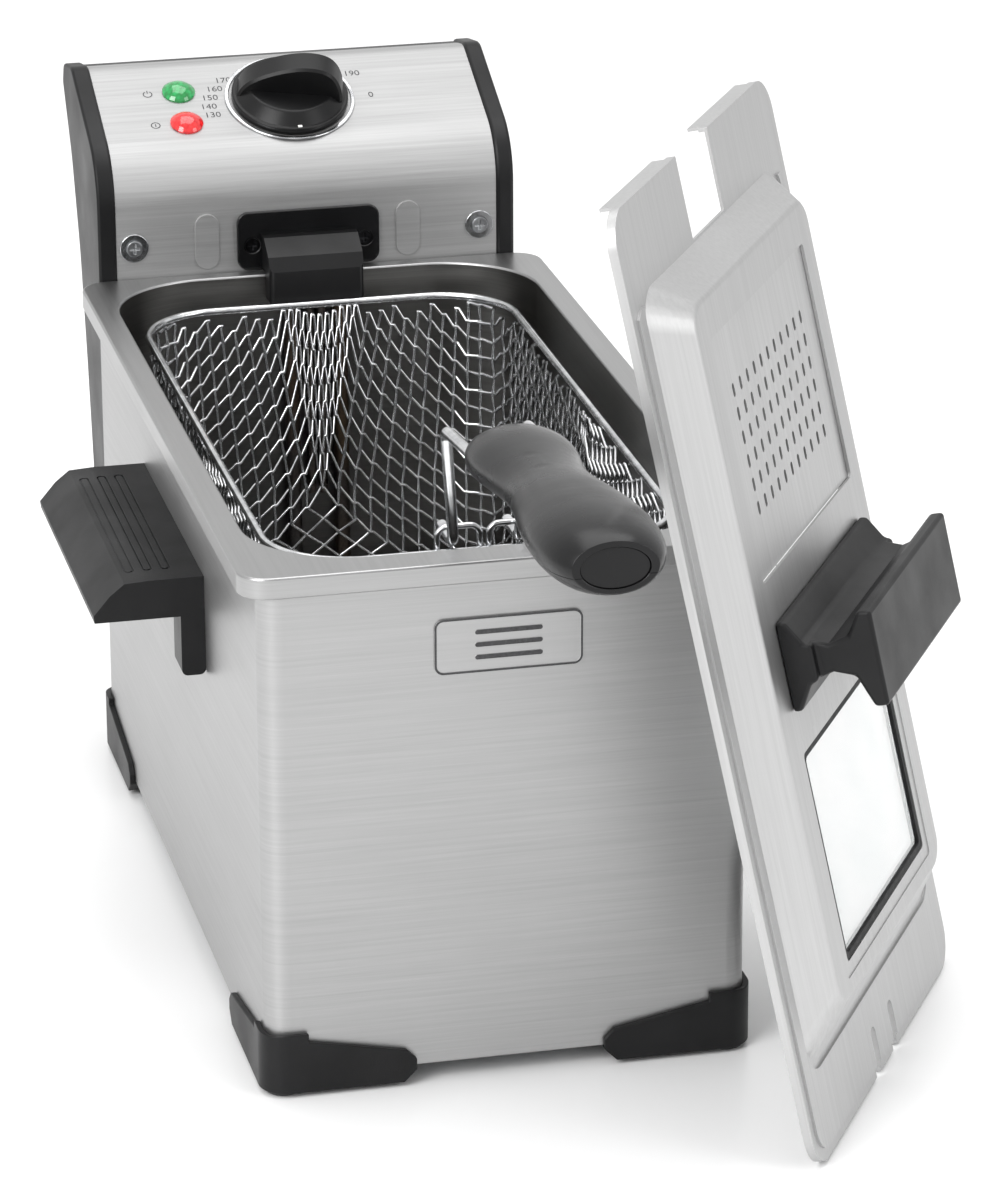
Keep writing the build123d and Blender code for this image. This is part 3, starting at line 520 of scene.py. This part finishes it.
def wall_wires(wall):
    """Wires of one wall.  The cloth is drawn on the skew: a diagonal lattice rises from the
    floor as a triangle, beside it one family stands upright while the other climbs from the
    corners to the middle, where both crowd together in a seam that widens upwards."""
    reach = wall[3] + NET_CORNER * math.pi / 4
    count = round(reach / STEP)
    step = reach / count
    crest = count - 1

    def foot(i):
        left = max(0, crest - abs(i))
        return NET_RISE * left + APEX_LIFT * (left / crest) ** 5

    apex = foot(0)

    def across(i, v):
        crowd = SQUEEZE * max(0.0, (v - apex) / PITCH)
        side = 1 if i > 0 else -1
        return side * (crowd + abs(i) * step * (1 - crowd / reach))

    wires = []
    for side in (-1, 1):
        for i in range(1, count + (1 if side > 0 else 0)):
            spots = []
            for k in range(ROWS):
                v = foot(i) + k * PITCH
                if v > WALL_REACH:
                    break
                spots.append(wall_spot(wall, across(side * i, v), v, weave(i, k)))
            wires.append(spots)
        for ring in range(ROWS):
            spots = []
            for i in range(count, 0, -1):
                v = foot(i) + ring * PITCH
                if v > WALL_REACH:
                    break
                for ahead in (KNOT, -KNOT):
                    spots.append(wall_spot(wall, across(side * i, v) + side * ahead, v,
                                           -weave(i, ring)))
            row = ring if len(spots) == 2 * count else ROWS
            while apex + row * PITCH <= WALL_REACH:
                x = side * SQUEEZE * (2 * ring - row)
                v = min(apex + row * PITCH + SEAM_SAG * x * x, WALL_REACH)
                for ahead in (KNOT / 2, -KNOT / 2):
                    spots.append(wall_spot(wall, x + side * ahead, v, -side * weave(row, 0)))
                row += 1
            wires.append(spots)
        for start in range(-crest + 2, crest + 1, 2):
            spots = []
            q = 0
            while q <= crest - abs(start + q):
                i = start + q
                left = max(1, crest - abs(i))
                height = NET_RISE * q + (foot(i) - NET_RISE * left) * (q / left) ** 3
                spots.append(wall_spot(wall, side * i * step, height, side * weave(q, 0)))
                q += 1
            wires.append(spots)
    return wires


def floor_wires():
    """Diagonal lattice of the basket floor."""
    columns = round((NET_HALF - NET_BEND) / STEP)
    rows = round((HALF_Y - NET_BEND) / STEP)
    step_x = (NET_HALF - NET_BEND) / columns
    step_y = (HALF_Y - NET_BEND) / rows
    radius = NET_CORNER - NET_BEND + FLOOR_OVERLAP
    wires = []
    starts = [(-columns, j) for j in range(-rows, rows, 2)]
    starts += [(i, -rows) for i in range(-columns + 2, columns, 2)]
    for side in (-1, 1):
        for i, j in starts:
            spots = []
            while i <= columns and j <= rows:
                x, y = i * step_x, j * step_y
                dx = abs(x) - (NET_HALF - NET_CORNER)
                dy = abs(y) - (HALF_Y - NET_CORNER)
                if dx <= 0 or dy <= 0 or math.hypot(dx, dy) <= radius:
                    lift = side * weave(j, 0)
                    spots.append(at(side * x, MIDDLE_Y + y, NET_FLOOR - lift))
                i, j = i + 1, j + 1
            wires.append(spots)
    return wires


def wire_tree():
    """Geometry Nodes that give every line of a mesh a round wire's thickness."""
    tree = bpy.data.node_groups.new("drawn_wire", "GeometryNodeTree")
    face = tree.interface
    face.new_socket("Lines", in_out="INPUT", socket_type="NodeSocketGeometry")
    face.new_socket("Wire radius", in_out="INPUT", socket_type="NodeSocketFloat")
    face.new_socket("Sides", in_out="INPUT", socket_type="NodeSocketInt")
    face.new_socket("Metal", in_out="INPUT", socket_type="NodeSocketMaterial")
    face.new_socket("Wires", in_out="OUTPUT", socket_type="NodeSocketGeometry")
    given = add(tree, "NodeGroupInput").outputs
    lines = add(tree, "GeometryNodeMeshToCurve", {"Mesh": given["Lines"]})
    ring = add(tree, "GeometryNodeCurvePrimitiveCircle",
               {"Resolution": given["Sides"], "Radius": given["Wire radius"]})
    tubes = add(tree, "GeometryNodeCurveToMesh", {"Curve": lines.outputs[0],
                                                  "Profile Curve": ring.outputs[0],
                                                  "Fill Caps": True})
    smooth = add(tree, "GeometryNodeSetShadeSmooth", {0: tubes.outputs[0]})
    real = add(tree, "GeometryNodeRealizeInstances", {0: smooth.outputs[0]})
    metal = add(tree, "GeometryNodeSetMaterial", {"Geometry": real.outputs[0],
                                                  "Material": given["Metal"]})
    add(tree, "NodeGroupOutput", {0: metal.outputs[0]})
    return tree


def run_tree(piece, tree, values):
    """Runs a Geometry Nodes tree on an object and returns the result as a plain mesh."""
    modifier = piece.modifiers.new(tree.name, "NODES")
    modifier.node_group = tree
    for item in tree.interface.items_tree:
        if item.in_out == "INPUT" and item.name in values:
            modifier[item.identifier] = values[item.name]
    return plain_mesh(piece, piece.name + "_made")


def make_basket_wires():
    wires = floor_wires()
    for wall in WALLS:
        wires += wall_wires(wall)
    spots, lines = [], []
    for wire in wires:
        if len(wire) > 1:
            lines += [(len(spots) + q, len(spots) + q + 1) for q in range(len(wire) - 1)]
            spots += wire
    mesh = bpy.data.meshes.new("basket_lines")
    mesh.from_pydata(spots, lines, [])
    guide = bpy.data.objects.new("basket_wires", mesh)
    bpy.context.scene.collection.objects.link(guide)
    piece = run_tree(guide, wire_tree(), {"Wire radius": WIRE_R / 1000, "Sides": 6,
                                          "Metal": MATERIALS["wire_chrome"]})
    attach(piece, "basket")
    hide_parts("basket_mesh")


make_basket_wires()


# ------------------------------------------------------------------ printed marks
MARKS_Y = 217.0                  # where on the slope the places of marks are measured from
INK_LIFT = 0.06                  # the ink stands this far off the steel
SIGN_X = -61.5                   # middle of the signs beside the lamps
LAMP_ALONG = (0.0, 21.5)         # how far up the slope each lamp and its sign are


def panel_matrix(x, along):
    """Place and turn of a mark on the sloping control panel."""
    slope = Vector((0, math.cos(PANEL_TILT), math.sin(PANEL_TILT)))
    normal = Vector((0, -math.sin(PANEL_TILT), math.cos(PANEL_TILT)))
    rise = (MARKS_Y - PANEL_BEND[0]) * math.tan(PANEL_TILT)
    foot = Vector((x, MARKS_Y, PANEL_BEND[1] + rise))
    spot = foot + slope * along + normal * (INK_LIFT - PANEL_INSET)
    turn = Matrix((Vector((1, 0, 0)), slope, normal)).transposed().to_4x4()
    return Matrix.Translation(at(*spot)) @ turn


def flat_number(text, size):
    """A number as a flat mesh, in millimetres."""
    curve = bpy.data.curves.new("number", "FONT")
    curve.body = text
    curve.size = size
    curve.align_x = "CENTER"
    curve.align_y = "CENTER"
    holder = bpy.data.objects.new("number", curve)
    bpy.context.scene.collection.objects.link(holder)
    return plain_mesh(holder, "number_flat")


def ring_mark(radius, width, start, end):
    """An arc as a flat strip, in millimetres: points and faces."""
    count = 24
    spots, faces = [], []
    for q in range(count + 1):
        a = math.radians(start + (end - start) * q / count)
        for r in (radius - width / 2, radius + width / 2):
            spots.append(Vector((r * math.cos(a), r * math.sin(a), 0)))
    for q in range(count):
        faces.append((2 * q, 2 * q + 1, 2 * q + 3, 2 * q + 2))
    return spots, faces


def bar_mark(x0, y0, x1, y1):
    spots = [Vector((x0, y0, 0)), Vector((x1, y0, 0)), Vector((x1, y1, 0)), Vector((x0, y1, 0))]
    return spots, [(0, 1, 2, 3)]


def make_scale():
    """Numbers round the knob and a plain sign beside each lamp, printed in dark ink."""
    spots, faces = [], []

    def place(shape_spots, shape_faces, matrix):
        first = len(spots)
        millimetre = Matrix.Scale(0.001, 4)
        spots.extend(matrix @ (millimetre @ p) for p in shape_spots)
        faces.extend(tuple(first + q for q in face) for face in shape_faces)

    # each number, with its millimetres to the right and up the slope
    marks = [("130", -35.5, 4.6), ("140", -36.3, 10.4), ("150", -34.8, 16.4),
             ("160", -31.8, 22.2), ("170", -27.0, 27.8), ("190", 30.5, 27.0), ("0", 36.2, 11.5)]
    for text, x, along in marks:
        number = flat_number(text, 4.9)
        place([v.co.copy() for v in number.data.vertices],
              [tuple(f.vertices) for f in number.data.polygons], panel_matrix(x, along))
        bpy.data.objects.remove(number)
    for along in LAMP_ALONG:
        here = panel_matrix(SIGN_X, along)
        place(*ring_mark(1.9, 0.45, 120 if along else 0, 420 if along else 360), here)
        place(*bar_mark(-0.22, 0.6 if along else -0.9, 0.22, 2.5 if along else 0.9), here)
    mesh = bpy.data.meshes.new("dial_scale_print")
    mesh.from_pydata(spots, [], faces)
    mesh.materials.append(BLACK_INK)
    piece = bpy.data.objects.new("dial_scale_print", mesh)
    bpy.context.scene.collection.objects.link(piece)
    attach(piece, "control_unit")


make_scale()


# ------------------------------------------------------------------ floor, light, camera
FLOOR_REACH = 14.0               # metres
FLOOR_DROP = 0.0004              # the pads and the floor never share a plane
EYE = (-426.0, -2002.4, 893.4)   # the camera's place, in millimetres


def make_floor():
    mesh = bpy.data.meshes.new("studio_floor")
    reach = FLOOR_REACH
    mesh.from_pydata([(-reach, -reach, 0), (reach, -reach, 0), (reach, reach, 0),
                      (-reach, reach, 0)], [], [(0, 1, 2, 3)])
    floor = bpy.data.objects.new("studio_floor", mesh)
    floor.location.z = -FLOOR_DROP
    bpy.context.scene.collection.objects.link(floor)
    material, tree = new_material("white_studio_laminate")
    shader = add(tree, "ShaderNodeBsdfPrincipled",
                 {"Base Color": linear("#f4f4f4"), "Roughness": 0.28, "IOR": 1.45})
    close_material(material, tree, shader)
    mesh.materials.append(material)


def make_light(name, place, size, power):
    lamp = bpy.data.lights.new(name, "AREA")
    lamp.shape = "RECTANGLE"
    lamp.size, lamp.size_y = size
    lamp.energy = power
    holder = bpy.data.objects.new(name, lamp)
    holder.location = place
    target = Vector((0, 0, 0.12))
    holder.rotation_mode = "QUATERNION"
    holder.rotation_quaternion = (target - Vector(place)).to_track_quat("-Z", "Y")
    bpy.context.scene.collection.objects.link(holder)


def make_world():
    world = bpy.data.worlds.new("studio")
    bpy.context.scene.world = world
    world.use_nodes = True
    world.node_tree.nodes.clear()
    back = add(world.node_tree, "ShaderNodeBackground", {"Color": (1, 1, 1, 1), "Strength": 0.9})
    add(world.node_tree, "ShaderNodeOutputWorld", {"Surface": back.outputs[0]})


def make_camera():
    lens = bpy.data.cameras.new("view")
    lens.sensor_fit = "HORIZONTAL"
    lens.sensor_width = 36.0
    lens.lens = 195.87
    lens.clip_end = 60.0
    camera = bpy.data.objects.new("view", lens)
    turn, rise, roll = math.radians(-13.01), math.radians(20.55), math.radians(-0.28)
    back = Vector((math.sin(turn) * math.cos(rise), -math.cos(turn) * math.cos(rise),
                   math.sin(rise)))
    right = (-back).cross(Vector((0, 0, 1))).normalized()
    up = right.cross(-back)
    level = right * math.cos(roll) + up * math.sin(roll)
    upright = up * math.cos(roll) - right * math.sin(roll)
    pose = Matrix((level, upright, back)).transposed().to_4x4()
    camera.matrix_world = Matrix.Translation(at(*EYE)) @ pose
    bpy.context.scene.collection.objects.link(camera)
    bpy.context.scene.camera = camera


bpy.context.scene.view_settings.view_transform = "Standard"
make_floor()
make_world()
make_light("left_softbox", (-1.7, -1.5, 1.7), (1.3, 1.6), 46)
make_light("right_softbox", (1.9, -1.9, 1.3), (1.0, 1.8), 16)
make_light("top_softbox", (0.1, 0.3, 2.2), (1.8, 1.8), 24)
make_camera()
